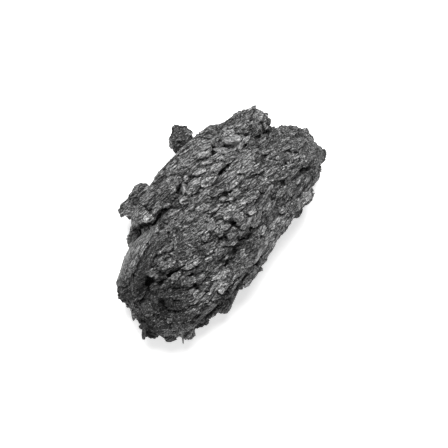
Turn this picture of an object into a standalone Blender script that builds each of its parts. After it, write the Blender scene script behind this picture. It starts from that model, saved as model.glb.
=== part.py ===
"""A graphite crumb: one lump of foliated flake graphite, lying on the parting plane that it broke off along.

Its long axis is X and +Z is up. The origin is on the flat that it rests on, under the middle of the crumb.
Sizes in the tables are millimetres, and the scene is in metres.
"""

import bisect
import math
import random

import bmesh
import bpy
from mathutils import Matrix, Vector, noise
from mathutils.bvhtree import BVHTree

MM = 0.001

# Heights above the resting plane
WAIST = 5.8  # where the lump is widest
CROWN = 12.3  # the plateau on top, before its swells
KEEL = 6.5  # how far the underside would reach below the waist if it weren't parted off flat

# The outline seen from above, anticlockwise from the notch between the two lobes of the +X end
OUTLINE = (
    (16.3, 0.1), (17.0, 2.4), (17.3, 4.3), (16.3, 5.8), (14.0, 6.2), (12.0, 7.0), (10.0, 8.7),
    (6.5, 9.8), (3.0, 10.3), (0.0, 10.6), (-3.0, 10.9), (-5.9, 10.1), (-6.9, 8.7), (-10.0, 7.9),
    (-13.5, 7.1), (-15.2, 6.6), (-16.2, 4.6), (-16.6, 2.2), (-17.8, 0.4), (-18.6, -1.6),
    (-17.6, -3.8), (-16.6, -5.8), (-13.5, -6.6), (-10.5, -7.4), (-8.3, -8.6), (-4.0, -9.0),
    (0.0, -9.2), (4.0, -9.1), (8.0, -9.4), (11.5, -9.9), (14.2, -8.9), (17.4, -8.0),
    (18.5, -6.0), (18.9, -3.8), (18.0, -1.2),
)  # fmt: skip
OUTLINE_INSET = 0.75  # room for the relief that is raised on the core
TOP_FULLNESS = 0.6  # 1 is an ellipsoid's section, and less is a boxier one
BOTTOM_FULLNESS = 0.78

# Broad swells and hollows of the top: x, y, length, width, turn in degrees, rise
SWELLS = (
    (3.0, -0.5, 26.0, 9.0, -8.0, 2.2),  # the spine
    (14.6, 4.0, 6.0, 4.5, -10.0, 1.2),  # upper lobe
    (14.5, -4.8, 7.0, 6.0, 0.0, 1.0),  # lower lobe
    (15.5, 0.6, 8.0, 2.2, 20.0, -1.9),  # valley between the lobes
    (-10.5, 5.9, 11.0, 3.6, 4.0, 1.5),  # ridge of the smooth slab
    (-12.4, 2.0, 8.0, 2.8, 6.0, -1.7),  # valley beside it
    (-1.0, -5.4, 13.0, 3.0, -4.0, -1.0),  # long hollow on the -Y side
    (4.0, 8.6, 14.0, 3.0, -5.0, -0.6),  # outer slab of the +Y side, a step lower
    (-16.0, -1.0, 9.0, 14.0, 0.0, -3.4),  # broken end
)

# The sheets of graphite run along the lump, turned a little from its long axis
GRAIN_TURN = -20.0
GRAIN_TURN_AT_FLANK = 2.0  # along the -Y flank
GRAIN_TURN_AT_SLAB = 9.0  # on the smooth slab of the -X, +Y corner
FLANK_Y, FLANK_FADE = -5.9, 0.9
SLAB_X, SLAB_Y, SLAB_REACH_X, SLAB_REACH_Y = -11.0, 6.0, 6.0, 3.0

# The two slabs whose faces broke clean: x, y, half length, half width
CLEAN_SLABS = ((-10.8, 6.2, 5.2, 2.2), (4.5, 9.0, 7.5, 1.5))
CLEAN_RELIEF = 0.15  # what is left of the relief there

# Ledges where sheets end: how far they run, how far apart they are, and how high they step
LEDGE_RUN, LEDGE_GAP, LEDGE_STEP = 9.0, 2.1, 0.43
LEDGES_PER_UNIT = 2.0  # steps for each unit of the noise that sets where sheets end
RISE_SHARE = 0.22  # share of a ledge that is its rise
ROUGH_SIZE, ROUGH_DEPTH = 1.5, 0.42

# Thick sheets that show as shelves on the sides:
# x, y, height, length, width, thickness, and turn and dip in degrees
SHELVES = (
    (3.6, 7.9, 9.2, 15.5, 4.2, 1.3, -7.0, 4.0),
    (-10.6, 5.0, 9.4, 10.0, 3.8, 1.3, 5.0, 6.0),
    (1.6, -7.2, 8.0, 18.0, 4.6, 1.1, -1.0, -5.0),
    (6.8, -7.2, 4.9, 17.0, 5.0, 1.2, 3.0, -3.0),
    (-8.2, -6.2, 6.0, 12.0, 4.6, 1.2, -6.0, -4.0),
    (-12.2, -1.2, 7.4, 9.0, 8.0, 1.1, -18.0, -3.0),
    (13.6, -4.4, 9.0, 9.0, 7.0, 1.1, -10.0, -4.0),
    (12.6, 3.2, 8.4, 9.0, 6.4, 1.1, -14.0, 3.0),
    (-2.6, 7.6, 5.4, 14.0, 5.6, 1.4, 5.0, 3.0),
    (8.2, 5.9, 5.0, 14.0, 6.4, 1.2, -17.0, 4.0),
    (-13.4, 2.6, 5.2, 7.5, 7.2, 1.2, 14.0, 2.0),
    (14.4, -2.0, 3.9, 8.0, 8.0, 1.2, 8.0, 0.0),
)

# Lumps grown onto the sides: x, y, height of the middle, radius
KNOB_SUNK = 0.7
KNOB_DRAWN = 1.15  # how much longer it is towards the body
KNOB_LUMP, KNOB_ROUGH = 0.9, 0.3  # size of its bumps as a share of its radius, and their height
KNOBS = (
    (8.1, 10.6, 4.6, 1.75),
    (-3.1, 11.0, 5.6, 1.7),
    (-1.7, 10.8, 6.2, 1.2),
    (-5.1, 11.5, 5.0, 1.2),
    (-8.0, 8.0, 5.8, 1.0),
    (-17.6, -1.4, 4.6, 1.5),
    (-16.6, 1.6, 5.6, 1.2),
    (-15.8, 4.4, 5.0, 1.2),
    (-17.0, -4.2, 4.8, 1.1),
    (-15.4, -6.0, 4.6, 1.1),
    (-12.9, -7.0, 3.6, 1.0),
    (-9.0, -8.3, 4.4, 1.2),
    (0.9, -9.1, 3.6, 0.85),
    (8.9, -9.3, 4.6, 1.0),
    (11.3, -9.2, 5.2, 1.2),
    (17.2, -7.3, 5.2, 1.3),
    (18.0, -4.6, 6.0, 1.2),
    (17.6, -2.4, 5.6, 1.1),
    (16.4, 3.6, 6.0, 1.4),
    (15.6, 0.9, 4.4, 1.0),
    (12.0, 7.3, 5.0, 0.8),
)

# Scales that stand out on top: x, y, length, width, turn in degrees, thickness
SCALES = (
    (11.4, 4.1, 3.0, 2.1, -15.0, 0.9),
    (14.1, 3.5, 2.2, 1.8, -60.0, 0.8),
    (7.1, 3.3, 3.4, 1.6, -28.0, 0.9),
    (5.2, 5.3, 3.2, 1.3, -30.0, 0.8),
    (2.9, 4.6, 3.4, 1.7, -12.0, 0.9),
    (0.4, 4.9, 1.9, 1.2, -50.0, 0.8),
    (-1.6, 5.2, 3.0, 1.8, -14.0, 0.7),
    (8.7, 6.0, 2.8, 1.4, -24.0, 0.7),
    (3.0, -2.8, 2.0, 1.9, 0.0, 1.0),
    (0.7, -2.7, 2.2, 1.5, -30.0, 0.9),
    (-1.5, -1.2, 4.2, 1.5, -26.0, 0.8),
    (2.4, 0.6, 5.0, 1.9, -24.0, 0.8),
    (7.6, -0.6, 5.2, 1.8, -20.0, 0.7),
    (-4.6, 1.2, 3.8, 2.2, -16.0, 0.9),
    (-6.0, -1.6, 3.6, 1.7, -34.0, 0.8),
    (-8.7, 2.6, 2.6, 1.5, -20.0, 0.8),
    (-3.9, -6.6, 2.6, 2.2, -8.0, 0.8),
    (4.8, -7.6, 4.4, 1.5, -6.0, 0.6),
    (-8.0, -5.6, 4.4, 1.7, -12.0, 0.8),
    (-12.5, -4.4, 3.4, 1.9, -16.0, 0.8),
    (10.6, -4.0, 3.0, 1.9, -30.0, 0.8),
    (14.6, -5.6, 2.6, 1.9, -10.0, 0.8),
    (-4.6, 9.0, 4.6, 2.4, 12.0, 0.9),
    (2.6, 8.8, 6.0, 2.0, -4.0, 0.6),
)

# Deep cracks and the undercuts of ledges: start x, y, end x, y, width, depth
CRACKS = (
    (-8.4, 8.2, -5.6, 6.9, 0.9, 1.6),
    (-5.6, 6.9, -2.0, 6.0, 0.8, 1.5),
    (-2.0, 6.0, 2.2, 6.1, 0.8, 1.7),
    (3.4, 6.9, 7.4, 5.4, 0.6, 0.9),
    (-14.2, 1.4, -11.4, 2.6, 0.7, 0.9),
    (-11.4, 1.4, -7.4, 0.2, 0.7, 1.0),
    (-10.0, -1.0, -7.9, -3.2, 0.5, 0.9),
    (5.9, 2.5, 8.4, 2.5, 0.5, 0.9),
    (1.6, 1.4, 4.8, 0.2, 0.6, 1.0),
    (10.1, 4.6, 11.2, 2.5, 0.7, 1.2),
    (13.0, 1.6, 16.4, 0.2, 0.8, 1.5),
    (-3.8, -0.4, -0.4, -3.0, 0.6, 1.0),
    (1.6, -4.2, 2.2, -2.2, 0.6, 0.9),
    (-4.2, -4.9, 0.4, -5.8, 0.7, 1.0),
    (-10.4, -6.9, -7.0, -7.9, 0.7, 1.1),
    (9.4, -1.2, 12.6, -2.0, 0.6, 0.9),
    (11.6, -6.2, 14.2, -7.2, 0.6, 1.0),
)

# Small scales and splinters all over: how many, and the ranges of their length and width
SMALL_SCALES, SCALE_LENGTH, SCALE_WIDTH = 420, (1.5, 3.8), (0.8, 1.6)
SPLINTERS, SPLINTER_LENGTH, SPLINTER_WIDTH = 90, (3.0, 6.5), (0.45, 0.75)
THICKNESS_SHARE = 0.4  # of a scale's width
SCALE_SWING = 11.0  # how far scales stray from the grain, in degrees
SCALE_TILT, SCALE_ROLL = (2.0, 12.0), (3.0, 16.0)  # rise of the free end and of the lower edge, in degrees
MARKED_TILT, MARKED_ROLL = (2.0, 6.0), (2.0, 8.0)  # the same for the scales that stand out
STEEP = 0.85  # where the grain points this much out of the surface, scales run upright instead
BEND_RADIUS = 8.0  # how tightly the sides curve, for sinking a straight scale into them

# Ragged edges: how far corners reach, and how many corners a scale and a shelf have
RAGGED = (0.78, 1.12)
SCALE_CORNERS, SHELF_CORNERS = (6, 7, 8), (17, 19)

# Fine roughness of the broken surface: size along and across the grain, and depth
FINE_RUN, FINE_GAP, FINE_DEPTH = 1.6, 0.6, 0.2

VOXEL = 0.2  # fineness at which the pieces are fused
TRIANGLES = 10250  # before the underside is parted off
CUTTER = 60.0  # side of the block that parts it off
SEED = 41


def turned(x, y, turn):
    """x and y along and across a direction that is turned by that many degrees from the X axis."""
    c = math.cos(math.radians(turn))
    s = math.sin(math.radians(turn))
    return x * c + y * s, -x * s + y * c


def polar_outline():
    """The outline's corners as angle and distance from the Z axis, with an overlap at both ends."""
    polar = sorted((math.atan2(y, x) % math.tau, math.hypot(x, y)) for x, y in OUTLINE)
    first = (polar[0][0] + math.tau, polar[0][1])
    last = (polar[-1][0] - math.tau, polar[-1][1])
    return [last, *polar, first]


POLAR_OUTLINE = polar_outline()


def outline_radius(angle):
    """How far the outline is from the Z axis in that direction, in millimetres."""
    angle %= math.tau
    at = bisect.bisect(POLAR_OUTLINE, (angle, math.inf))
    before, after = POLAR_OUTLINE[at - 1], POLAR_OUTLINE[at]
    share = (angle - before[0]) / (after[0] - before[0])
    return before[1] + (after[1] - before[1]) * share


def swell(x, y):
    """Rise of the top above its plateau."""
    rise = 0.0
    for sx, sy, length, width, turn, height in SWELLS:
        along, across = turned(x - sx, y - sy, turn)
        rise += height * math.exp(-((2 * along / length) ** 2) - (2 * across / width) ** 2)
    return rise


def grain_turn(x, y):
    """Direction in which the sheets of graphite run at a place, in degrees from the X axis."""
    flank = 1 / (1 + math.exp((y - FLANK_Y) / FLANK_FADE))
    slab = math.exp(-(((x - SLAB_X) / SLAB_REACH_X) ** 2) - ((y - SLAB_Y) / SLAB_REACH_Y) ** 2)
    turn = GRAIN_TURN + (GRAIN_TURN_AT_FLANK - GRAIN_TURN) * flank
    return turn + (GRAIN_TURN_AT_SLAB - turn) * slab


def ledges(p):
    """Height of the sheets' broken ends at a point, in millimetres: short rises and long flat treads."""
    along, across = turned(p.x, p.y, grain_turn(p.x, p.y))
    level = noise.fractal(Vector((along / LEDGE_RUN, across / LEDGE_GAP, p.z / LEDGE_GAP)), 0.9, 2.1, 3)
    step, rest = divmod(level * LEDGES_PER_UNIT, 1.0)
    return (step + max(0.0, (rest - 1 + RISE_SHARE) / RISE_SHARE)) * LEDGE_STEP


def clean_here(x, y):
    """1 on top of the slabs whose faces broke clean, and 0 elsewhere."""
    return max(math.exp(-(((x - sx) / rx) ** 4) - ((y - sy) / ry) ** 4) for sx, sy, rx, ry in CLEAN_SLABS)


def relief_share(p):
    """How much of the relief a point keeps: less on the clean slabs of the top."""
    return 1 - (1 - CLEAN_RELIEF) * clean_here(p.x, p.y) if p.z > WAIST else 1.0


def core_point(direction):
    """The point of the lump's core in that direction from its middle, in millimetres."""
    fullness = TOP_FULLNESS if direction.z > 0 else BOTTOM_FULLNESS
    level = math.hypot(direction.x, direction.y) ** fullness
    reach = (outline_radius(math.atan2(direction.y, direction.x)) - OUTLINE_INSET) * level
    flat = direction.xy.normalized() * reach
    rise = CROWN - WAIST + swell(flat.x, flat.y) if direction.z > 0 else -KEEL
    return Vector((flat.x, flat.y, WAIST + rise * abs(direction.z) ** fullness))


def add_core(bm):
    """The body of the lump: a ball drawn out to the outline and stepped into ledges."""
    made = bmesh.ops.create_icosphere(bm, subdivisions=6, radius=1.0)["verts"]
    for vert in made:
        vert.co = core_point(vert.co.normalized())
    bm.normal_update()
    moves = {}
    for vert in made:
        p = vert.co
        rough = noise.fractal(p / ROUGH_SIZE, 0.8, 2.0, 3) * ROUGH_DEPTH
        moves[vert] = vert.normal * (ledges(p) + rough) * relief_share(p)
    for vert, move in moves.items():
        vert.co += move


def add_knobs(bm):
    """The angular lumps that grow out of the sides, each drawn out towards the body."""
    rng = random.Random(SEED)
    for x, y, z, radius in KNOBS:
        made = bmesh.ops.create_icosphere(bm, subdivisions=3, radius=radius)["verts"]
        inward = Vector((-x, -y, 0)).normalized()
        facing = inward.to_track_quat("X", "Z").to_matrix()
        shift = Vector((rng.uniform(-50, 50), rng.uniform(-50, 50), rng.uniform(-50, 50)))
        for vert in made:
            swing = noise.fractal(vert.co / (KNOB_LUMP * radius) + shift, 0.8, 2.0, 3)
            drawn = Vector((vert.co.x * KNOB_DRAWN, vert.co.y, vert.co.z)) * (1 + KNOB_ROUGH * swing)
            vert.co = Vector((x, y, z)) + inward * KNOB_SUNK + facing @ drawn


def add_scale(bm, middle, along, out, size, rng, tilt=0.0, roll=0.0, corners=SCALE_CORNERS):
    """A flat scale of graphite with a ragged edge, its free end and lower edge up and the rest sunk in."""
    made = bmesh.ops.create_cone(
        bm, cap_ends=True, segments=rng.choice(corners), radius1=0.5, radius2=0.42, depth=1.0
    )["verts"]
    across = out.cross(along).normalized()
    frame = Matrix((across.cross(out), across, out)).transposed()
    lean = Matrix.Rotation(math.radians(-tilt), 3, "Y") @ Matrix.Rotation(math.radians(-roll), 3, "X")
    stretch = Matrix.Diagonal(size)
    reaches = {}
    for vert in made:
        corner = round(math.atan2(vert.co.y, vert.co.x), 1)
        reach = reaches.setdefault(corner, rng.uniform(*RAGGED))
        ragged = Vector((vert.co.x * reach, vert.co.y * reach, vert.co.z))
        vert.co = middle + frame @ lean @ stretch @ ragged


def heading(turn):
    """The level direction that is turned by that many degrees from the X axis."""
    return Vector((math.cos(math.radians(turn)), math.sin(math.radians(turn)), 0))


def add_shelves(bm):
    """The thick sheets that lie through the lump and end in its sides."""
    rng = random.Random(SEED + 4)
    for x, y, z, length, width, thickness, turn, dip in SHELVES:
        out = Matrix.Rotation(math.radians(-dip), 3, "X") @ Vector((0, 0, 1))
        size = (length, width, thickness)
        add_scale(bm, Vector((x, y, z)), heading(turn), out, size, rng, corners=SHELF_CORNERS)


def add_marked_scales(bm, core):
    """The scales that stand out, each set down on the top of the core."""
    rng = random.Random(SEED + 1)
    for x, y, length, width, turn, thickness in SCALES:
        place, out, _, _ = core.ray_cast(Vector((x, y, 60)), Vector((0, 0, -1)))
        size = (length, width, thickness)
        tilt = rng.uniform(*MARKED_TILT)
        add_scale(bm, place, heading(turn), out, size, rng, tilt, rng.uniform(*MARKED_ROLL))


def add_small_scales(bm, core, count, lengths, widths, seed):
    """Scales or splinters strewn over the whole core, along the grain."""
    rng = random.Random(seed)
    for _ in range(count):
        towards = Vector((rng.gauss(0, 1), rng.gauss(0, 1), rng.gauss(0, 1))).normalized()
        far = Vector((towards.x * 40, towards.y * 24, WAIST + towards.z * 30))
        place, out, _, _ = core.ray_cast(far, Vector((0, 0, WAIST)) - far)
        if place.z > WAIST and rng.random() < clean_here(place.x, place.y):
            continue
        along = heading(grain_turn(place.x, place.y) + rng.gauss(0, SCALE_SWING))
        if abs(along.dot(out)) > STEEP:
            along = Vector((0, 0, 1))
        width = rng.uniform(*widths)
        length = rng.uniform(*lengths)
        sunk = out * length**2 / (8 * BEND_RADIUS)
        size = (length, width, width * THICKNESS_SHARE)
        add_scale(bm, place - sunk, along, out, size, rng, rng.uniform(*SCALE_TILT), rng.uniform(*SCALE_ROLL))


def object_from(bm, name, collection):
    """A mesh object made from millimetre-sized geometry."""
    bmesh.ops.scale(bm, vec=(MM, MM, MM), verts=bm.verts)
    mesh = bpy.data.meshes.new(name)
    bm.to_mesh(mesh)
    bm.free()
    obj = bpy.data.objects.new(name, mesh)
    collection.objects.link(obj)
    return obj


def apply_modifiers(obj):
    """Replaces the object's mesh with what its modifiers make of it."""
    bpy.context.view_layer.update()
    graph = bpy.context.evaluated_depsgraph_get()
    shaped = bpy.data.meshes.new_from_object(obj.evaluated_get(graph))
    obj.modifiers.clear()
    obj.data = shaped


def keep_largest(bm):
    """Removes the specks that aren't joined to the lump."""
    left = set(bm.verts)
    islands = []
    while left:
        found = {left.pop()}
        edge = list(found)
        while edge:
            near = {e.other_vert(v) for v in edge for e in v.link_edges} - found
            found |= near
            edge = list(near)
        left -= found
        islands.append(found)
    islands.sort(key=len)
    for island in islands[:-1]:
        bmesh.ops.delete(bm, geom=list(island), context="VERTS")


def crack_depth(p):
    """How deep the cracks cut at a point, in millimetres."""
    deepest = 0.0
    for x0, y0, x1, y1, width, depth in CRACKS:
        run = Vector((x1 - x0, y1 - y0))
        share = min(1.0, max(0.0, (Vector((p.x - x0, p.y - y0)).dot(run)) / run.length_squared))
        away = math.hypot(p.x - x0 - run.x * share, p.y - y0 - run.y * share)
        taper = math.sqrt(max(0.0, 1 - (2 * share - 1) ** 2)) * 0.6 + 0.4
        deepest = max(deepest, depth * taper * math.exp(-((1.6 * away / width) ** 2)))
    return deepest


def fine_relief(p):
    """Small bumps drawn out along the grain at a point, in millimetres."""
    along, across = turned(p.x, p.y, grain_turn(p.x, p.y))
    stretched = Vector((along / FINE_RUN, across / FINE_GAP, p.z / FINE_GAP))
    return noise.fractal(stretched, 0.7, 2.0, 3) * FINE_DEPTH


def carve(obj):
    """Drops loose specks, roughens the surface and cuts the cracks into the top of the lump."""
    bm = bmesh.new()
    bm.from_mesh(obj.data)
    keep_largest(bm)
    bm.normal_update()
    for vert in bm.verts:
        p = vert.co / MM
        vert.co += vert.normal * fine_relief(p) * relief_share(p) * MM
        if p.z > WAIST:
            vert.co.z -= crack_depth(p) * MM
    bm.to_mesh(obj.data)
    bm.free()


def graphite():
    """Dark grey with a dull metallic lustre."""
    material = bpy.data.materials.new("graphite")
    material.use_nodes = True
    shader = material.node_tree.nodes["Principled BSDF"]
    shader.inputs["Base Color"].default_value = (0.10, 0.10, 0.102, 1)
    shader.inputs["Metallic"].default_value = 0.55
    shader.inputs["Roughness"].default_value = 0.48
    return material


def new_collection(name):
    """An empty collection in the scene."""
    collection = bpy.data.collections.new(name)
    bpy.context.scene.collection.children.link(collection)
    return collection


def lump(collection):
    """The core with its shelves, knobs and scales, still as separate shells."""
    bm = bmesh.new()
    add_core(bm)
    core = BVHTree.FromBMesh(bm)
    add_shelves(bm)
    add_knobs(bm)
    add_marked_scales(bm, core)
    add_small_scales(bm, core, SMALL_SCALES, SCALE_LENGTH, SCALE_WIDTH, SEED + 2)
    add_small_scales(bm, core, SPLINTERS, SPLINTER_LENGTH, SPLINTER_WIDTH, SEED + 3)
    return object_from(bm, "graphite_crumb", collection)


def fuse(obj):
    """Makes one closed skin of the separate shells."""
    fused = obj.modifiers.new("fuse", "REMESH")
    fused.mode = "VOXEL"
    fused.voxel_size = VOXEL * MM
    apply_modifiers(obj)


def facet(obj):
    """Thins the skin out to flat facets."""
    faces = sum(len(p.vertices) - 2 for p in obj.data.polygons)
    facets = obj.modifiers.new("facet", "DECIMATE")
    facets.ratio = TRIANGLES / faces
    apply_modifiers(obj)


def part_off(obj, collection):
    """Cuts the underside off flat along the parting plane."""
    bm = bmesh.new()
    bmesh.ops.create_cube(bm, size=CUTTER, matrix=Matrix.Translation((0, 0, -CUTTER / 2)))
    below = object_from(bm, "below_the_parting_plane", collection)
    below.hide_render = True
    below.display_type = "WIRE"
    parting = obj.modifiers.new("parting", "BOOLEAN")
    parting.operation = "DIFFERENCE"
    parting.solver = "EXACT"
    parting.object = below


def main():
    for old in list(bpy.data.objects):
        bpy.data.objects.remove(old)
    crumb = lump(new_collection("graphite crumb"))
    crumb.data.materials.append(graphite())
    fuse(crumb)
    carve(crumb)
    facet(crumb)
    part_off(crumb, new_collection("cutters"))


main()
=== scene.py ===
import math

import bpy
import numpy as np
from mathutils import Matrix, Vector, noise


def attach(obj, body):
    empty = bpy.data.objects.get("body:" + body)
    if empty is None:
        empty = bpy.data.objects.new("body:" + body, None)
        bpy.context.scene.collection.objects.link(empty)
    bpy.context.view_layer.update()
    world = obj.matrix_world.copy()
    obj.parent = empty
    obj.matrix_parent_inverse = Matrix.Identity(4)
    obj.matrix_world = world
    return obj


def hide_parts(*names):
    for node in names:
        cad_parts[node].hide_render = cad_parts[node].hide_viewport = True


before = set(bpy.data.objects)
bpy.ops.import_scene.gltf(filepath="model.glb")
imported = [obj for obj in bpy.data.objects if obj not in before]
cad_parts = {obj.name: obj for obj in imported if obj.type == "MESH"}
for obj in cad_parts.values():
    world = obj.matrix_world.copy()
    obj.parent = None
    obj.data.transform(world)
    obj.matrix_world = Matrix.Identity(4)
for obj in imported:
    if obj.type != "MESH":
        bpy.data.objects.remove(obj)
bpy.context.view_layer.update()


# ---------------------------------------------------------------------------------------------
# The view is straight down onto the crumb where it lies. The crumb's long axis leans LEAN from
# the frame's right, up towards the frame's upper right corner.
# ---------------------------------------------------------------------------------------------
MM = 0.001  # the numbers in this script are millimetres
LEAN = math.radians(56)
VIEW_WIDTH = 64.4  # what the frame takes in at the height where the crumb is widest
WAIST = 5.8
VIEW_RIGHT, VIEW_UP = 1.92, -0.07  # from the origin to the middle of the frame
LENS, FILM = 85, 36
frame_right = Vector((math.cos(LEAN), -math.sin(LEAN), 0))
frame_up = Vector((math.sin(LEAN), math.cos(LEAN), 0))
view_height = WAIST + VIEW_WIDTH * LENS / FILM
eye = frame_right * VIEW_RIGHT + frame_up * VIEW_UP + Vector((0, 0, view_height))
bpy.ops.object.camera_add(location=eye * MM, rotation=(0, 0, -LEAN))
camera = bpy.context.object
camera.data.lens = LENS
camera.data.sensor_width = FILM
camera.data.clip_start = 1 * MM
bpy.context.scene.camera = camera


# ---------------------------------------------------------------------------------------------
# The floor is a wide sheet of matt white acrylic, lit a little from below. A round soft box
# stands above the crumb's far end, at the top of the frame, and a white room fills the shadows.
# ---------------------------------------------------------------------------------------------
ACRYLIC = (0.9, 0.9, 0.9, 1)
GLOW = 0.45
FLOOR_SIZE, FLOOR_GAP = 2000, 0.02
bpy.ops.mesh.primitive_plane_add(size=FLOOR_SIZE * MM, location=(0, 0, -FLOOR_GAP * MM))
floor = bpy.context.object
floor.name = "floor"
acrylic = bpy.data.materials.new("white_acrylic")
acrylic.use_nodes = True
acrylic_shader = acrylic.node_tree.nodes["Principled BSDF"]
acrylic_shader.inputs["Base Color"].default_value = ACRYLIC
acrylic_shader.inputs["Roughness"].default_value = 0.9
acrylic_shader.inputs["Emission Color"].default_value = (1, 1, 1, 1)
acrylic_shader.inputs["Emission Strength"].default_value = GLOW
floor.data.materials.append(acrylic)

LAMP_AWAY, LAMP_HEIGHT, LAMP_ACROSS = 120, 215, 130
LAMP_WATTS = 0.95
ROOM_LIGHT = 0.5
lamp_at = (frame_up * LAMP_AWAY + Vector((0, 0, LAMP_HEIGHT))) * MM
bpy.ops.object.light_add(
    type="AREA", location=lamp_at, rotation=(-lamp_at).to_track_quat("-Z", "Y").to_euler()
)
lamp = bpy.context.object.data
lamp.shape = "DISK"
lamp.size = LAMP_ACROSS * MM
lamp.energy = LAMP_WATTS
room = bpy.data.worlds.new("white_room")
room.use_nodes = True
room.node_tree.nodes["Background"].inputs["Color"].default_value = (1, 1, 1, 1)
room.node_tree.nodes["Background"].inputs["Strength"].default_value = ROOM_LIGHT
bpy.context.scene.world = room
bpy.context.scene.view_settings.view_transform = "Standard"


# ---------------------------------------------------------------------------------------------
# Graphite: dark grey and dully metallic. Each sheet has its own tone and painted sheen, fine
# fibres run along the grain, painted shade makes the hollows between them almost black, and
# painted shade darkens the broken end, which faces away from the lamp.
# ---------------------------------------------------------------------------------------------
FIBRE_RUN, FIBRE_GAP = 1.3, 0.2
WORM_RUN, WORM_GAP = 0.36, 0.24
LINE_RUN, LINE_GAP, LINE_WIDTH = 2.4, 0.34, 0.07
SPECK = 0.2
CLOUD = 5.0
PATCH = 2.0
BUMP = 0.11
GRAIN, FLANK_GRAIN, STEEP_GRAIN = -22.0, 1.0, -40.0
FORK = 11
graphite = bpy.data.materials.new("graphite")
graphite.use_nodes = True
nodes = graphite.node_tree.nodes
links = graphite.node_tree.links
shader = nodes["Principled BSDF"]
shader.inputs["Metallic"].default_value = 0.5
place = nodes.new("ShaderNodeTexCoord")


def noise_at(turn, run, gap, detail):
    """A noise that is drawn out along a direction turned by that many degrees from the X axis."""
    spread = nodes.new("ShaderNodeMapping")
    spread.vector_type = "TEXTURE"
    spread.inputs["Rotation"].default_value = (0, 0, math.radians(turn))
    spread.inputs["Scale"].default_value = (run * MM, gap * MM, gap * MM)
    links.new(place.outputs["Object"], spread.inputs["Vector"])
    pattern = nodes.new("ShaderNodeTexNoise")
    pattern.inputs["Scale"].default_value = 1.0
    pattern.inputs["Detail"].default_value = detail
    pattern.inputs["Roughness"].default_value = 0.7
    pattern.inputs["Distortion"].default_value = 0.0
    links.new(spread.outputs["Vector"], pattern.inputs["Vector"])
    return pattern.outputs["Fac"]


def blend(kind, a, b, factor=None):
    """a and b put together by a Math node, or mixed by a factor."""
    node = nodes.new("ShaderNodeMix" if kind == "MIX" else "ShaderNodeMath")
    if kind == "MIX":
        sockets = (node.inputs["A"], node.inputs["B"])
        links.new(factor, node.inputs["Factor"])
    else:
        node.operation = kind
        sockets = (node.inputs[0], node.inputs[1])
    for value, socket in zip((a, b), sockets):
        if isinstance(value, float):
            socket.default_value = value
        else:
            links.new(value, socket)
    return node.outputs[0]


def lines_at(turn, run, gap):
    """Thin broken lines along a direction: 1 on a line and 0 between lines."""
    off = blend("ABSOLUTE", blend("SUBTRACT", noise_at(turn, run, gap, 1), 0.5), 0.0)
    line = blend("SUBTRACT", 1.0, blend("DIVIDE", off, LINE_WIDTH))
    line.node.use_clamp = True
    return line


def ramp(value, stops):
    """A colour ramp of greys."""
    node = nodes.new("ShaderNodeValToRGB")
    links.new(value, node.inputs["Fac"])
    while len(node.color_ramp.elements) < len(stops):
        node.color_ramp.elements.new(0.5)
    for element, (at, grey) in zip(node.color_ramp.elements, stops):
        element.position = at
        element.color = (grey, grey, grey, 1)
    return node.outputs["Color"]


def kept(name):
    """A number that the mesh keeps for each of its corners."""
    node = nodes.new("ShaderNodeAttribute")
    node.attribute_name = name
    return node.outputs["Fac"]


patches = ramp(noise_at(0.0, PATCH, PATCH, 1), ((0.42, 0.0), (0.58, 1.0)))
along_body = noise_at(GRAIN - FORK, FIBRE_RUN, FIBRE_GAP, 3)
along_body = blend("MIX", along_body, noise_at(GRAIN + FORK, FIBRE_RUN, FIBRE_GAP, 3), patches)
along_body = blend("MIX", along_body, noise_at(STEEP_GRAIN, FIBRE_RUN, FIBRE_GAP, 3), kept("steep"))
along_flank = noise_at(FLANK_GRAIN, FIBRE_RUN, FIBRE_GAP, 3)
fibre = blend("MIX", along_body, along_flank, kept("flank"))
fibre = blend("MIX", fibre, noise_at(40.0, WORM_RUN, WORM_GAP, 3), kept("beaded"))
# Painted highlights on thin lines along the grain, where the edges of flakes catch the light, and painted
# shade on thin lines in the gaps between them; both also shape the bump
highlight_body = lines_at(GRAIN + 4, LINE_RUN, LINE_GAP)
highlight_flank = lines_at(FLANK_GRAIN + 4, LINE_RUN, LINE_GAP)
highlight_lines = blend("MIX", highlight_body, highlight_flank, kept("flank"))
shadow_body = lines_at(GRAIN - 5, LINE_RUN, LINE_GAP)
shadow_flank = lines_at(FLANK_GRAIN - 5, LINE_RUN, LINE_GAP)
shadow_lines = blend("MIX", shadow_body, shadow_flank, kept("flank"))
speck = noise_at(0.0, SPECK, SPECK, 2)
cloud = noise_at(0.0, CLOUD, CLOUD, 2)
value = blend("MULTIPLY", fibre, 1.55)
value = blend("ADD", value, blend("MULTIPLY", highlight_lines, 0.45))
value = blend("SUBTRACT", value, blend("MULTIPLY", shadow_lines, 0.5))
# Painted light and shade added to the tone: the patches of painted light and shade, and each sheet's tone
# with its painted sheen and highlights
for part, weight in ((kept("painted_light_and_shade"), 0.25), (kept("tone_and_painted_light"), 0.27), (speck, 1.55), (cloud, 0.2)):
    value = blend("ADD", value, blend("MULTIPLY", part, weight))
# Painted shade: the hollows go almost black, and the broken end that faces away from the lamp is darker;
# beaded places are a little darker
for part, weight in ((kept("hollow_shade"), 0.28), (kept("end_shade"), 0.16), (kept("beaded"), 0.10)):
    value = blend("SUBTRACT", value, blend("MULTIPLY", part, weight))
value = blend("SUBTRACT", value, 1.09)
tone = ramp(value, ((0.0, 0.006), (0.25, 0.028), (0.5, 0.085), (0.75, 0.19), (1.0, 0.36)))
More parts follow.
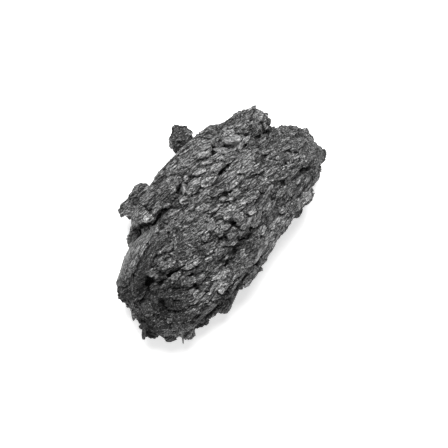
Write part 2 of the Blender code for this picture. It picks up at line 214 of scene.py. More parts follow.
# Painted shade in concave places, read from the mesh's pointiness, and slightly lighter sharp edges as
# wear
shape = nodes.new("ShaderNodeNewGeometry")
cavity_shade_and_wear = ramp(shape.outputs["Pointiness"], ((0.42, 0.4), (0.5, 0.9), (0.6, 1.0)))
shaded_tone = nodes.new("ShaderNodeMix")
shaded_tone.data_type = "RGBA"
shaded_tone.blend_type = "MULTIPLY"
shaded_tone.inputs["Factor"].default_value = 1.0
links.new(tone, shaded_tone.inputs[6])
links.new(cavity_shade_and_wear, shaded_tone.inputs[7])
links.new(shaded_tone.outputs[2], shader.inputs["Base Color"])
links.new(ramp(value, ((0.1, 0.65), (0.9, 0.38))), shader.inputs["Roughness"])
bump = nodes.new("ShaderNodeBump")
bump.inputs["Strength"].default_value = 1.0
bump.inputs["Distance"].default_value = BUMP * MM
grooves = blend("ADD", fibre, blend("MULTIPLY", speck, 0.5))
grooves = blend("ADD", grooves, blend("MULTIPLY", highlight_lines, 0.2))
grooves = blend("SUBTRACT", grooves, blend("MULTIPLY", shadow_lines, 0.3))
links.new(grooves, bump.inputs["Height"])
links.new(bump.outputs["Normal"], shader.inputs["Normal"])


# ---------------------------------------------------------------------------------------------
# The lump is one piece of foliated graphite. Its sheets are drawn out along the grain, each at
# its own height and tilt, and cracks open where they part. It follows the solid it stands for.
# ---------------------------------------------------------------------------------------------
FLANK_Y, FLANK_FADE = -6.9, 0.6
TONGUES = ((5.5, -5.0, 3.2, 2.2), (-6.0, -6.5, 2.6, 1.4))
STEEP = (12.3, 4.0, 3.6, 3.0)
SLAB = (-10.8, 6.2, 5.2, 2.2)
BAND = (2.5, 9.0, 8.5, 1.6)
BROKEN = (-6.5, 1.0, 4.5, 4.0)
BEADED_LOBES, BEADED_END = (11.5, 14.5), (10.5, 13.0)
# The broken end, which faces away from the lamp, gets painted shade past these x and y
SHADED_END, SHADED_SIDE = (8.0, 11.5), (-4.8, -2.8)
SLAB_GRAIN, BAND_GRAIN = 10.0, -17.0
SEED = 3  # without one, noise_vector gives other numbers in each run
FINENESS, SMOOTHING = 0.085, 13
LUMP_TRIANGLES = 195000
UNDERSIDE, DOWNWARD, UNDERSIDE_SHARE = 2.5, -0.2, 0.2
SWELL = 0.06
SHARP = math.radians(20)
LONG_CRACKS = ((5.0, 1.0), 0.045, 0.28)
WIDE_SHEETS = ((3.2, 1.2), 0.22, 0.26, 0.28, 0.08)
NARROW_SHEETS = ((1.7, 0.5), 0.08, 0.12, 0.12, 0.14)
BIG_BEADS, SMALL_BEADS = (0.95, 0.32), (0.5, 0.17)
FIBRES = (((3.0, 0.34), 0.14), ((1.4, 0.2), 0.07))
PLATE_CORNER, PLATE_GROOVE = 2.6, 0.1
# The plates' rims are raised a little and get a painted highlight
PLATE_RIM, PLATE_RIM_WIDTH = 0.1, 0.06

# The marks below are given as an eye at this place and this height over the waist sees them
SEEN_FROM, SEEN_X, SEEN_Y = 152.0, 1.0, -1.6

# Plates that stand out on top: x, y, length, width, turn in degrees, rise, and the painted light on the
# plate, below 0 for painted shade
PLATES = (
    (-1.5, 6.7, 1.4, 0.7, -25, 0.30, 3.3),
    (1.95, 6.15, 1.3, 0.6, 28, 0.30, 5.2),
    (3.3, 6.6, 0.9, 0.9, -10, 0.28, 1.2),
    (0.85, 4.9, 1.9, 1.3, -50, 0.25, 0.9),
    (2.9, 4.95, 3.1, 1.3, -10, 0.25, 0.4),
    (5.3, 5.4, 2.1, 0.8, -30, 0.30, 2.0),
    (6.5, 5.9, 1.3, 0.8, -20, 0.20, 1.2),
    (8.0, 6.2, 2.5, 1.2, -15, 0.25, 1.9),
    (7.3, 3.5, 2.1, 1.4, -35, 0.35, 1.1),
    (8.5, 4.3, 1.3, 1.0, -20, 0.20, 0.0),
    (-0.3, 3.8, 2.8, 0.7, -15, 0.25, 1.0),
    (-2.2, 5.2, 3.2, 1.4, -30, 0.25, -0.2),
    (4.2, 2.2, 2.4, 1.5, -25, 0.25, 0.9),
    (2.8, 0.8, 3.6, 1.2, -8, 0.20, -1.2),
    (11.55, 3.9, 2.5, 2.1, -35, 0.10, 1.7),
    (14.0, 3.7, 1.6, 1.7, -60, 0.30, -1.2),
    (12.3, 2.6, 2.6, 0.8, -10, 0.15, 1.0),
    (0.9, -2.2, 1.6, 0.8, -10, 0.25, 2.2),
    (0.6, -3.3, 2.1, 1.1, -10, 0.30, -0.2),
    (3.0, -2.6, 1.8, 1.6, 20, 0.35, 1.2),
    (-8.5, 2.9, 1.4, 1.2, -20, 0.30, -0.9),
    (-3.6, -6.9, 2.9, 1.5, -10, 0.25, -0.6),
    (5.2, -7.6, 2.6, 0.9, -4, 0.20, 1.0),
    (4.8, -3.9, 1.5, 0.9, -15, 0.20, 1.7),
    (-6.6, -1.1, 2.6, 0.8, -35, 0.25, 1.6),
    (-4.6, 4.65, 0.8, 0.4, -10, 0.25, 5.0),
    (-6.7, -6.6, 1.8, 1.2, -10, 0.20, 1.1),
    (-15.2, 0.8, 2.6, 1.8, 60, 0.30, 0.2),
    (-9.5, -5.3, 2.7, 1.2, -15, 0.20, -0.3),
    (-4.9, 8.9, 3.2, 2.2, 10, 0.25, -0.2),
    (6.5, 0.4, 3.4, 0.9, -12, 0.20, -0.2),
    (9.0, -3.6, 2.4, 1.0, -15, 0.20, -1.0),
    (-10.5, 6.5, 9.6, 2.2, 8, 0.10, -0.6),
    (-11.0, 4.2, 6.8, 1.7, 9, 0.05, -1.7),
    (6.0, 8.4, 8.0, 1.5, -12, 0.10, -0.6),
    (-2.05, -0.45, 1.6, 0.9, -5, 0.25, 0.8),
    (-9.5, -1.7, 2.8, 0.7, -50, 0.25, 0.8),
    (-8.6, -0.2, 1.0, 0.8, -20, 0.20, 0.4),
    (-2.25, -3.1, 2.2, 1.6, 10, 0.25, 0.3),
    (-0.6, -4.25, 1.8, 0.4, -40, 0.20, 2.4),
    (0.0, 1.0, 1.8, 0.5, -14, 0.20, 1.4),
    (0.8, -0.9, 1.4, 0.4, -25, 0.20, 3.0),
    (-5.5, -1.5, 1.7, 0.9, -15, 0.25, 0.2),
    (-7.4, -3.25, 2.0, 0.9, -5, 0.25, 0.5),
    (-9.6, -3.25, 1.6, 0.8, -5, 0.20, 1.1),
    (-8.0, 1.4, 1.4, 0.7, -15, 0.20, 0.5),
    (-2.5, -1.45, 2.2, 0.3, -14, 0.15, 1.8),
    (-1.6, -1.95, 0.9, 0.35, -35, 0.15, 1.2),
    (-4.25, 0.9, 1.6, 0.3, -85, 0.15, 1.6),
    (14.9, 1.7, 1.8, 0.8, 20, 0.20, 0.2),
    (11.2, 0.4, 1.8, 0.35, -5, 0.15, 2.4),
    (14.0, 0.55, 2.0, 0.4, -5, 0.15, 1.6),
    (11.45, -0.6, 0.9, 0.9, 0, 0.20, -2.0),
    (12.7, -1.8, 1.6, 0.9, -10, 0.25, 1.8),
    (14.0, -4.05, 2.2, 1.4, 5, 0.20, 0.5),
    (12.7, -4.95, 1.4, 0.7, 0, 0.20, 1.9),
    (10.5, -2.7, 1.4, 0.6, -10, 0.20, 0.8),
    (14.9, -5.1, 1.0, 0.4, 20, 0.15, 1.0),
    (15.9, -2.35, 1.2, 0.5, -30, 0.20, 1.2),
    (16.5, -6.7, 1.4, 0.5, 10, 0.20, 0.5),
    (11.3, -5.75, 1.2, 0.9, -20, 0.20, 1.5),
    (12.0, -8.0, 3.0, 0.8, -3, 0.15, -0.6),
    (0.4, 0.35, 1.1, 0.6, -40, 0.20, 0.6),
    (3.2, -0.8, 2.4, 0.3, -5, 0.15, 0.0),
    (4.3, -0.3, 1.4, 0.35, -40, 0.15, 1.0),
    (6.2, 0.25, 1.8, 0.3, -18, 0.15, 1.4),
    (4.7, -2.55, 1.2, 0.3, -10, 0.15, 1.3),
    (5.9, -2.7, 1.2, 0.9, -15, 0.20, 0.4),
    (1.5, -4.9, 1.9, 1.4, -5, 0.20, 0.4),
    (2.4, -4.1, 0.9, 0.4, 10, 0.15, 0.2),
    (3.6, -5.4, 1.2, 0.8, 0, 0.20, 0.7),
)

# Deep cracks between them, and undercut ledges: start x, y, end x, y, width, depth
CRACKS = (
    (-8.4, 8.3, -5.8, 7.8, 0.9, 0.8),
    (-5.8, 7.8, -5.5, 6.2, 0.6, 0.7),
    (-5.4, 6.9, -2.0, 6.6, 0.5, 0.7),
    (-2.0, 6.5, -0.3, 5.0, 0.4, 0.7),
    (0.1, 7.1, 1.5, 6.0, 0.5, 0.7),
    (0.2, 5.2, 1.6, 3.8, 0.3, 0.5),
    (1.3, 4.0, 2.9, 3.3, 0.5, 0.8),
    (1.2, 1.4, 3.9, 1.0, 0.25, 0.6),
    (6.0, 3.2, 8.2, 2.6, 0.4, 0.7),
    (3.0, 3.1, 3.1, 1.6, 0.3, 0.4),
    (4.5, 3.2, 5.2, 2.8, 0.5, 0.7),
    (2.8, 6.1, 4.4, 5.6, 0.3, 0.6),
    (5.9, 6.4, 6.3, 4.9, 0.3, 0.6),
    (8.4, 5.5, 9.2, 5.1, 0.5, 0.8),
    (1.7, -2.3, 2.2, -3.7, 0.5, 0.8),
    (-0.8, -1.7, -0.6, -3.5, 0.6, 0.8),
    (10.1, 4.7, 10.9, 3.2, 0.6, 0.8),
    (12.9, 4.5, 12.9, 3.1, 0.2, 0.4),
    (10.1, 2.3, 10.3, 0.9, 0.35, 0.6),
    (13.4, 1.9, 16.2, 0.3, 0.3, 0.3),
    (9.0, -1.5, 10.3, -1.9, 0.5, 0.7),
    (11.4, -1.2, 13.2, -1.1, 0.35, 0.5),
    (12.2, -2.3, 13.5, -2.6, 0.45, 0.7),
    (13.3, -6.7, 14.2, -6.9, 0.6, 0.7),
    (13.1, -3.7, 13.2, -4.4, 0.3, 0.5),
    (-11.4, 1.3, -7.2, 0.1, 0.5, 0.9),
    (-10.4, 2.0, -8.8, 1.2, 0.4, 0.8),
    (-14.6, 1.9, -11.0, 2.7, 0.7, 0.8),
    (-12.9, 1.2, -13.4, -2.2, 0.7, 0.6),
    (-8.2, -1.6, -7.4, -2.1, 0.6, 0.6),
    (-10.8, -1.5, -9.6, -2.7, 0.35, 0.5),
    (-10.6, -3.4, -3.0, -4.7, 0.35, 0.7),
    (-4.0, -5.0, 1.4, -5.3, 0.9, 0.6),
    (1.4, -5.3, 6.4, -5.9, 0.5, 0.5),
    (-10.4, -6.7, -6.6, -7.7, 0.5, 0.7),
    (-9.4, -8.4, -3.4, -8.3, 0.35, 0.6),
    (-3.0, -8.7, 5.0, -8.2, 0.3, 0.5),
)

# Patches painted lighter or darker than the rest: mostly painted light and shade, such as shade
# under ledges, between the lobes and in valleys, and partly the graphite's own tone. Columns are
# x, y, reach in x and in y, by how much
PAINTED_LIGHT_AND_SHADE = (
    (-18.0, -0.7, 1.8, 1.8, -1.5),
    (-12.1, -2.0, 2.3, 2.2, -1.0),
    (-15.2, 6.0, 1.8, 1.8, -0.9),
    (-2.7, 6.6, 2.4, 1.4, -0.6),
    (4.0, 10.4, 9.0, 1.3, -0.65),
    (8.2, 11.0, 2.0, 1.5, -0.65),
    (-4.0, 11.5, 3.0, 1.2, -0.3),
    (15.2, 4.8, 2.5, 1.5, -0.6),
    (14.2, 0.3, 1.9, 1.8, -0.6),
    (5.5, 2.4, 4.6, 1.3, -0.75),
    (-3.0, -1.5, 1.9, 1.5, -0.9),
    (-0.8, -6.2, 3.6, 1.3, -0.5),
    (12.3, -1.9, 1.8, 1.2, -0.5),
    (9.1, 10.3, 1.3, 1.0, -0.6),
    (12.1, -8.3, 1.8, 0.9, -0.5),
    (-0.1, 8.1, 1.5, 1.0, -1.0),
    (11.6, -4.4, 2.0, 1.6, -0.45),
    (9.0, -6.2, 1.8, 2.2, -0.8),
    (17.8, -3.0, 3.0, 6.0, -0.55),
    (-6.2, -8.3, 1.5, 0.8, -0.4),
    (12.2, 6.4, 2.0, 1.1, -1.2),
    (-15.2, -6.1, 2.2, 1.5, 1.4),
    (5.7, 5.4, 3.4, 1.5, 0.35),
    (11.9, 4.0, 1.9, 1.5, 1.3),
    (4.0, -0.1, 3.6, 1.3, 0.7),
    (3.3, -8.1, 2.6, 1.2, 0.75),
    (-3.1, -4.2, 1.6, 1.1, 0.8),
    (3.4, -4.0, 1.5, 1.1, 0.5),
    (15.2, -3.8, 1.8, 1.5, 0.5),
    (15.4, 2.2, 1.4, 1.0, 0.75),
    (-6.7, -5.9, 2.2, 1.2, 0.45),
    (3.2, 8.2, 1.7, 1.0, 0.25),
    (0.2, 10.1, 1.5, 1.0, 1.0),
    (-6.2, 4.1, 1.5, 1.2, -0.8),
    (-9.0, -4.4, 1.5, 1.0, -0.4),
    (-6.3, 6.8, 1.6, 1.8, 0.45),
    (9.2, 4.3, 1.4, 1.1, 0.35),
    (0.2, -2.0, 1.6, 1.2, -0.45),
    (5.0, -2.1, 2.8, 1.2, -0.4),
    (-6.1, -3.9, 1.6, 1.1, -0.5),
    (9.6, 7.8, 1.6, 1.0, 0.4),
    (-5.0, 0.4, 2.8, 1.3, -0.25),
)


noise.seed_set(SEED)


def noise_of(spots):
    """A smooth random number from about -1 to 1 at each spot."""
    return np.array([noise.noise(spot) for spot in spots.tolist()])


def cells_of(spots):
    """For the cell that each spot is in: its own number, the way from its middle, and to its edge."""
    own, off, edge, far = [], [], [], []
    for spot in spots.tolist():
        distances, middles = noise.voronoi(spot)
        own.append(noise.cell(middles[0] * 91.7) * 0.5 + 0.5)
        off.append(Vector(spot) - middles[0])
        edge.append(distances[1] - distances[0])
        far.append(distances[0])
    return np.array(own), np.array(off), np.array(edge), np.array(far)


def rise(values, low, high):
    """0 below low, 1 above high, and a smooth step between."""
    share = np.clip((values - low) / (high - low), 0, 1)
    return share * share * (3 - 2 * share)


def over(region, x, y):
    """1 inside an oval region and 0 well outside it."""
    middle_x, middle_y, reach_x, reach_y = region
    return np.exp(-(((x - middle_x) / reach_x) ** 4) - ((y - middle_y) / reach_y) ** 4)


def regions(points, outs):
    """How much of each point is slab, band, flank, steep grain, beads, and broken end given painted
    shade.
    """
    x, y, z = points.T
    high = rise(z, WAIST - 1.5, WAIST)
    slab, band = over(SLAB, x, y) * high, over(BAND, x, y) * high
    clean = np.maximum(slab, band)
    flank = 1 / (1 + np.exp((y - FLANK_Y) / FLANK_FADE))
    for tongue in TONGUES:
        flank = np.maximum(flank, over(tongue, x, y))
    flank *= 1 - clean
    steep = over(STEEP, x, y) * (1 - clean) * (1 - flank)
    edges = rise(-np.abs(outs[:, 2]), -0.5, -0.2) * 0.8
    beaded = np.maximum(np.maximum(rise(x, *BEADED_LOBES) * 0.85, edges), over(BROKEN, x, y) * 0.35)
    beaded = np.maximum(beaded, rise(-x, *BEADED_END) * 0.7) * (1 - clean)
    end_shade = rise(-x, *SHADED_END) * rise(-y, *SHADED_SIDE)
    return slab, band, flank, steep, beaded, end_shade


def grain_relief(points, turn, calm):
    """Height over the smooth lump in millimetres, the sheets' tone with painted highlights on their rims,
    and the painted shade of the hollows.
    """
    c, s = math.cos(math.radians(turn)), math.sin(math.radians(turn))
    along = points[:, 0] * c + points[:, 1] * s
    across = points[:, 1] * c - points[:, 0] * s
    spots = np.stack([along, across, points[:, 2]], 1)
    height, shade, hollow_shade = np.zeros(len(points)), np.zeros(len(points)), np.zeros(len(points))
    for (run, gap), step, tilt, split, split_width in (WIDE_SHEETS, NARROW_SHEETS):
        own, off, edge, _ = cells_of(spots / (run, gap, gap))
        seam = np.exp(-((edge / split_width) ** 2))
        # Thin lighter outlines near the edges of the wide sheets are painted highlights
        lit_rim = np.exp(-(((edge - 0.34) / 0.1) ** 2)) * (run > 2)
        height += (own - 0.5) * 2 * step + (off[:, 0] * 0.5 - off[:, 1]) * tilt - seam * split
        shade += own * 0.35 + lit_rim * 0.3
        # The seams between the sheets get painted shade
        hollow_shade += seam * 0.5
    for (run, gap), depth in FIBRES:
        vale = np.maximum(0, 1 - np.abs(noise_of(spots / (run, gap, gap))) / 0.3)
        height -= vale * depth * (0.4 + 0.6 * calm) / calm.clip(0.1)
        # The vales between the fibres get painted shade
        hollow_shade += vale * 0.35
    (run, gap), width, depth = LONG_CRACKS
    crack = np.exp(-((noise_of(spots / (run, gap, gap * 1.4)) / width) ** 2))
    height -= crack * depth
    # The long cracks get painted shade
    hollow_shade += crack * 0.8
    height *= calm
    shade *= 0.4 + 0.6 * calm
    return height - np.median(height), shade, hollow_shade


def bead_relief(points):
    """The same where the surface is broken into rounded beads."""
    height, hollow_shade = np.zeros(len(points)), np.zeros(len(points))
    shade = np.zeros(len(points))
    for size, depth in (BIG_BEADS, SMALL_BEADS):
        own, _, edge, far = cells_of(points / (size * 1.25, size * 0.85, size))
        height += (own - 0.5) * depth - far**2 * depth * 1.4
        # The gaps between the beads get painted shade
        hollow_shade += np.exp(-((edge / 0.2) ** 2)) * 0.5
        shade += own * 0.35
    return height - np.median(height), shade, hollow_shade


def as_seen(points):
    """Where points are seen from above, in the plane of the waist."""
    drawn_in = 1 - (points[:, 2] - WAIST) / SEEN_FROM
    return SEEN_X + (points[:, 0] - SEEN_X) / drawn_in, SEEN_Y + (points[:, 1] - SEEN_Y) / drawn_in


def marks_on(points, height, shade, hollow_shade):
    """Lifts the marked plates along their lower side and paints light and shade on them, and cuts the
    marked cracks with painted shade in them.
    """
    top = rise(points[:, 2], WAIST, WAIST + 1.5)
    x, y = as_seen(points)
    swing = noise_of(points / 0.8) * 0.3 + noise_of(points / 0.3) * 0.15
    for middle_x, middle_y, length, width, turn, lift, plate_light_and_shade in PLATES:
        c, s = math.cos(math.radians(turn)), math.sin(math.radians(turn))
        along = ((x - middle_x) * c + (y - middle_y) * s) / (length / 2)
        across = ((y - middle_y) * c - (x - middle_x) * s) / (width / 2)
        far = (np.abs(along) ** PLATE_CORNER + np.abs(across) ** PLATE_CORNER) ** (1 / PLATE_CORNER)
        edge = (far + swing - 1) * min(length, width) / 2
        inside = rise(-edge, -0.03, 0.04) * top
        lifted = np.clip(0.5 - 0.5 * across, 0, 1)
        groove = np.exp(-(((edge - PLATE_GROOVE) / PLATE_GROOVE) ** 2)) * top * (0.3 + 0.7 * lifted)
        # A thin rim inside each plate's edge, raised a little and given a painted highlight, most of it
        # on the lifted side
        lit_rim = np.exp(-(((edge + PLATE_RIM) / PLATE_RIM_WIDTH) ** 2)) * top * (0.4 + 0.6 * lifted)
        height *= 1 - 0.6 * inside
        height += inside * lift * (0.15 + lifted * 0.6) + lit_rim * 0.03 - groove * 0.3
        # Each plate's tone is evened out and its painted light is added, which is painted shade where the
        # number is below 0
        shade += inside * ((0.35 - shade) * 0.6 + plate_light_and_shade * 0.5) + lit_rim * 0.3
        hollow_shade *= 1 - 0.5 * inside
        # The groove round each plate gets painted shade, most of it on the plate's lifted side
        hollow_shade += groove * 0.9
    swing = np.abs(swing)
    for x0, y0, x1, y1, width, depth in CRACKS:
        run = (x1 - x0) ** 2 + (y1 - y0) ** 2
        share = np.clip(((x - x0) * (x1 - x0) + (y - y0) * (y1 - y0)) / run, 0, 1)
        away = np.hypot(x - x0 - (x1 - x0) * share, y - y0 - (y1 - y0) * share) + swing * 0.6
        cut = np.exp(-((1.7 * away / width) ** 2)) * (0.4 + 0.6 * np.sqrt(1 - (2 * share - 1) ** 2)) * top
        height -= cut * depth
        # The marked cracks get painted shade, both as hollows and as a darker tone
        hollow_shade += cut
        shade -= cut * 0.3


def painted_light_and_shade_on(points):
    """How much lighter or darker each point is painted: painted light and shade, with some of the
    graphite's own tone.
    """
    x, y = as_seen(points)
    painted_light_and_shade = np.zeros(len(points))
    for middle_x, middle_y, reach_x, reach_y, amount in PAINTED_LIGHT_AND_SHADE:
        painted_light_and_shade += amount * np.exp(-(((x - middle_x) / reach_x) ** 2) - ((y - middle_y) / reach_y) ** 2)
    return painted_light_and_shade


def relief(points, outs):
    """Height, tone with painted light, painted shade of the hollows, regions, and patches of painted
    light and shade of points on the smooth lump.
    """
    slab, band, flank, steep, beaded, end_shade = regions(points, outs)
    wavy = points + np.array([noise.noise_vector(p) for p in (points / 4.5).tolist()]) * 0.5
    wavy += np.array([noise.noise_vector(p) for p in (points / 1.6).tolist()]) * 0.18
    clean = np.maximum(slab, band)
    calm = 1 - 0.85 * clean
    height, shade, hollow_shade = np.zeros(len(points)), np.zeros(len(points)), np.zeros(len(points))
    main = (1 - clean) * (1 - beaded)
    for turn, share in (
        (GRAIN, main * (1 - flank) * (1 - steep)),
        (FLANK_GRAIN, main * flank),
        (STEEP_GRAIN, main * steep),
        (SLAB_GRAIN, slab * (1 - beaded)),
        (BAND_GRAIN, band * (1 - beaded)),
    ):
        here = share > 0.02
        parts = grain_relief(wavy[here], turn, calm[here])
        for total, part in zip((height, shade, hollow_shade), parts):
            total[here] += part * share[here]
    here = beaded > 0.02
    for total, part in zip((height, shade, hollow_shade), bead_relief(wavy[here])):
        total[here] += part * beaded[here]
    marks_on(points, height, shade, hollow_shade)
    return height, shade, hollow_shade, np.maximum(flank, slab), steep, beaded, end_shade, painted_light_and_shade_on(points)


KEPT = ("tone_and_painted_light", "hollow_shade", "flank", "steep", "beaded", "end_shade", "painted_light_and_shade")


def keep(mesh, columns):
    """Keeps each column of numbers, one for each vertex, under its name."""
    for name, values in zip(KEPT, columns):
        attribute = mesh.attributes.new(name, "FLOAT", "POINT")
        attribute.data.foreach_set("value", np.asarray(values, np.float32))


def numbers(items, name, width):
    """A property of all vertices or faces as an array."""
    values = np.empty(len(items) * width)
    items.foreach_get(name, values)
    return values.reshape(-1, width)


lump = bpy.data.objects.new("lump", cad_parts["graphite_crumb"].data.copy())
bpy.context.scene.collection.objects.link(lump)
bpy.ops.object.select_all(action="DESELECT")
lump.select_set(True)
bpy.context.view_layer.objects.active = lump
bpy.ops.object.mode_set(mode="EDIT")
bpy.ops.mesh.select_all(action="SELECT")
bpy.ops.mesh.remove_doubles(threshold=0.001 * MM)
bpy.ops.object.mode_set(mode="OBJECT")
skin = lump.modifiers.new("skin", "REMESH")
skin.mode = "VOXEL"
skin.voxel_size = FINENESS * MM
soft = lump.modifiers.new("soft", "SMOOTH")
soft.factor = 0.5
soft.iterations = SMOOTHING
for modifier in ("skin", "soft"):
    bpy.ops.object.modifier_apply(modifier=modifier)

bed = lump.data
bed_normals = numbers(bed.polygons, "normal", 3)
bed_middles = numbers(bed.polygons, "center", 3) / MM
bed_areas = numbers(bed.polygons, "area", 1)[:, 0]
points = numbers(bed.vertices, "co", 3) / MM
outs = numbers(bed.vertex_normals, "vector", 3)
height, *looks = relief(points, outs)
height = (height + SWELL) * np.clip(points[:, 2] - 0.05, 0, 1)
points += outs * height[:, None]
points[:, 2] = np.maximum(points[:, 2], 0)
bed.vertices.foreach_set("co", (points * MM).ravel())
keep(bed, looks)

# The underside keeps one face in five, so that the top can keep more of its own
bpy.ops.object.mode_set(mode="EDIT")
bpy.ops.mesh.select_all(action="SELECT")
bpy.ops.mesh.quads_convert_to_tris()
bpy.ops.mesh.select_all(action="DESELECT")
bpy.ops.mesh.select_mode(type="FACE")
bpy.ops.object.mode_set(mode="OBJECT")
middles = numbers(bed.polygons, "center", 3) / MM
downward = numbers(bed.polygons, "normal", 3)[:, 2] < DOWNWARD
bed.polygons.foreach_set("select", (middles[:, 2] < UNDERSIDE) | downward)
bpy.ops.object.mode_set(mode="EDIT")
bpy.ops.mesh.decimate(ratio=UNDERSIDE_SHARE)
bpy.ops.mesh.select_mode(type="VERT")
bpy.ops.object.mode_set(mode="OBJECT")
thin = lump.modifiers.new("thin", "DECIMATE")
thin.ratio = LUMP_TRIANGLES / len(bed.polygons)
thin.use_collapse_triangulate = True
bpy.ops.object.modifier_apply(modifier="thin")

# Specks that hang on nothing are dropped
bpy.ops.object.mode_set(mode="EDIT")
bpy.ops.mesh.separate(type="LOOSE")
bpy.ops.object.mode_set(mode="OBJECT")
*bits, lump = sorted(bpy.context.selected_objects, key=lambda bit: len(bit.data.vertices))
for bit in bits:
    bpy.data.objects.remove(bit)
lump.name = "lump"
bpy.context.view_layer.objects.active = lump
bpy.ops.object.shade_smooth_by_angle(angle=SHARP)
lump.data.materials.clear()
lump.data.materials.append(graphite)
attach(lump, "root")
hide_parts("graphite_crumb")


# ---------------------------------------------------------------------------------------------
# Flakes are the thin ragged ends of the graphite's sheets. They lie along the grain, overlap like
# roof tiles and lift a little along their lower side, where they parted from the sheet below.
# ---------------------------------------------------------------------------------------------
FLAKES = 1000  # tried; those over a crack or off the lump are left out
FLAKE_SIZES = ((0.8, 2.5), (0.35, 1.05), (0.08, 0.14))  # length, width, thickness, each from and to
FLAKE_LEAN = (16, 7, 3)  # degrees off the grain, up along one side, and up at one end
FLAKE_STAND = 0.05
FLAKE_PLACES = (0.05, 0.7, 0.3)  # share on the slab and band, flattest ground, share on the beads
RAGGEDNESS, FLAKE_SWELL = 0.1, 0.12
MOST_OFF = 0.3


def keep_shape():
    """Takes the corners and faces of the new shape and removes its object."""
    shape = bpy.context.object
    corners = numbers(shape.data.vertices, "co", 3)
    faces = [tuple(f.vertices) for f in shape.data.polygons]
    bpy.data.objects.remove(shape)
    return corners, faces


def leaf(corners, seed):
    """A ragged disc about one wide and one high, swollen a little."""
    bpy.ops.mesh.primitive_cylinder_add(vertices=corners, radius=0.5, depth=1.0)
    bpy.ops.object.mode_set(mode="EDIT")
    bpy.ops.mesh.select_all(action="SELECT")
    bpy.ops.transform.vertex_random(offset=RAGGEDNESS, uniform=1.0, normal=0.0, seed=seed)
    bpy.ops.transform.shrink_fatten(value=FLAKE_SWELL, use_even_offset=True)
    bpy.ops.object.mode_set(mode="OBJECT")
    return keep_shape()


def lay(name, shapes, kinds, base, outs, turns, rolls, tips, size, looks):
    """Small shapes laid along the lump, each in its own direction and leaning a little, as one piece."""
    along = np.stack([np.cos(np.radians(turns)), np.sin(np.radians(turns)), np.zeros(len(turns))], 1)
    along[np.abs((along * outs).sum(1)) > 0.8] = (0, 0, 1)
    across = np.cross(outs, along)
    across /= np.linalg.norm(across, axis=1)[:, None]
    along = np.cross(across, outs)
    up = outs + across * np.sin(np.radians(rolls))[:, None] + along * np.sin(np.radians(tips))[:, None]
    up /= np.linalg.norm(up, axis=1)[:, None]
    across = np.cross(up, along)
    across /= np.linalg.norm(across, axis=1)[:, None]
    along = np.cross(across, up)
    corners, faces, columns, total = [], [], [], 0
    for i, kind in enumerate(kinds):
        shape, shape_faces = shapes[kind]
        corners.append(base[i] + (shape * size[i]) @ np.stack([along[i], across[i], up[i]]))
        faces.extend(tuple(total + c for c in face) for face in shape_faces)
        columns.append(np.tile([look[i] for look in looks], (len(shape), 1)))
        total += len(shape)
    corners = np.vstack(corners)
    corners[:, 2] = np.maximum(corners[:, 2], 0)
    mesh = bpy.data.meshes.new(name)
    mesh.from_pydata((corners * MM).tolist(), [], faces)
    keep(mesh, np.vstack(columns).T)
    mesh.materials.append(graphite)
    piece = bpy.data.objects.new(name, mesh)
    bpy.context.scene.collection.objects.link(piece)
    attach(piece, "root")


def stands_off(spot):
    """How far a spot is from the lump's surface in millimetres."""
    spot = Vector(spot) * MM
    return (lump.closest_point_on_mesh(spot)[1] - spot).length / MM


bed_x, bed_y = as_seen(bed_middles)


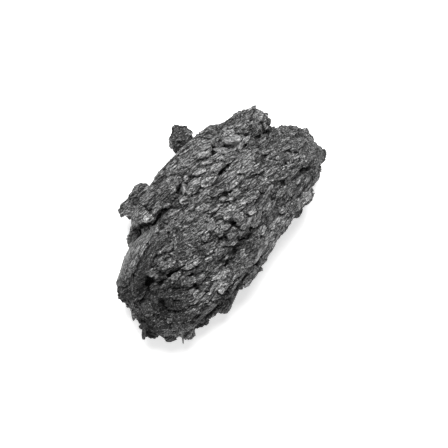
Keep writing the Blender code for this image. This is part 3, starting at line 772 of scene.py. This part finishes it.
def strew(name, shapes, chance, count, sizes, lean, stand, places):
    """Many small shapes strewn over the lump along its grain, clear of the plates and the cracks."""
    spread, lift, sway = lean
    clean_share, flattest, bead_share = places
    slab, band, _, _, beaded, _ = regions(bed_middles, bed_normals)
    clean = np.maximum(slab, band)
    likely = bed_areas * (1 - (1 - clean_share) * clean) * (bed_middles[:, 2] > 1)
    likely *= rise(bed_normals[:, 2], flattest - 0.2, flattest) * (1 - (1 - bead_share) * beaded)
    for x, y, length, width, turn, *_ in PLATES:
        c, s = math.cos(math.radians(turn)), math.sin(math.radians(turn))
        along = ((bed_x - x) * c + (bed_y - y) * s) / (length / 2)
        across = ((bed_y - y) * c - (bed_x - x) * s) / (width / 2)
        likely[(along**2 + across**2 < 1.2) & (bed_normals[:, 2] > 0)] = 0
    picks = chance.choice(len(likely), size=count, p=likely / likely.sum())
    spots, outs = bed_middles[picks], bed_normals[picks]
    height, _, hollow_shade, flank, steep, beaded, end_shade, painted_light_and_shade = relief(spots, outs)
    turns = GRAIN + (FLANK_GRAIN - GRAIN) * flank + (STEEP_GRAIN - GRAIN) * steep
    turns += chance.normal(0, spread, count) * (1 + 2 * beaded)
    size = np.stack([chance.uniform(*pair, count) for pair in sizes], 1)
    rolls, tips = chance.normal(lift, lift / 2, count), chance.normal(0, sway, count)
    kinds = chance.integers(len(shapes), size=count)
    shades = chance.uniform(-0.35, 0.45, count)
    base = spots + outs * (height + stand)[:, None]
    reach = np.stack([np.cos(np.radians(turns)), np.sin(np.radians(turns)), np.zeros(count)], 1)
    reach -= outs * (reach * outs).sum(1)[:, None]
    reach *= size[:, :1] / 2
    clear = hollow_shade < 0.9
    for tips_at in (base + reach, base - reach):
        clear &= np.array([stands_off(tip) for tip in tips_at.tolist()]) < MOST_OFF
    # Each flake keeps its own random tone, a little of the painted shade of the hollows under it, and the
    # painted light and shade of its place
    looks = (shades, hollow_shade * 0.4, flank, steep, beaded, end_shade, painted_light_and_shade)
    rows = (kinds, base, outs, turns, rolls, tips, size)
    lay(name, shapes, *(row[clear] for row in rows), [look[clear] for look in looks])


leaves = [leaf(8 + number % 3, number + 20) for number in range(6)]
chance = np.random.default_rng(12)
strew("flakes", leaves, chance, FLAKES, FLAKE_SIZES, FLAKE_LEAN, FLAKE_STAND, FLAKE_PLACES)


# ---------------------------------------------------------------------------------------------
# Grains are the smallest crumbs of the same graphite, broken from its edges. They are stuck to
# the lump all round, most of them where its surface is beaded, and lie in all directions.
# ---------------------------------------------------------------------------------------------
GRAINS = 3200
GRAIN_SIZES = ((0.25, 0.75), (0.2, 0.55), (0.15, 0.4))
GRAIN_LEAN = (40, 0, 15)
GRAIN_STAND = 0.02
GRAIN_PLACES = (0.3, -0.5, 5)
UNEVENNESS = 0.12
crumbs = []
for number in range(6):
    bpy.ops.mesh.primitive_ico_sphere_add(subdivisions=1, radius=0.5)
    bpy.ops.object.mode_set(mode="EDIT")
    bpy.ops.mesh.select_all(action="SELECT")
    bpy.ops.transform.vertex_random(offset=UNEVENNESS, uniform=1.0, normal=0.0, seed=number + 40)
    bpy.ops.object.mode_set(mode="OBJECT")
    crumbs.append(keep_shape())
chance = np.random.default_rng(13)
strew("grains", crumbs, chance, GRAINS, GRAIN_SIZES, GRAIN_LEAN, GRAIN_STAND, GRAIN_PLACES)
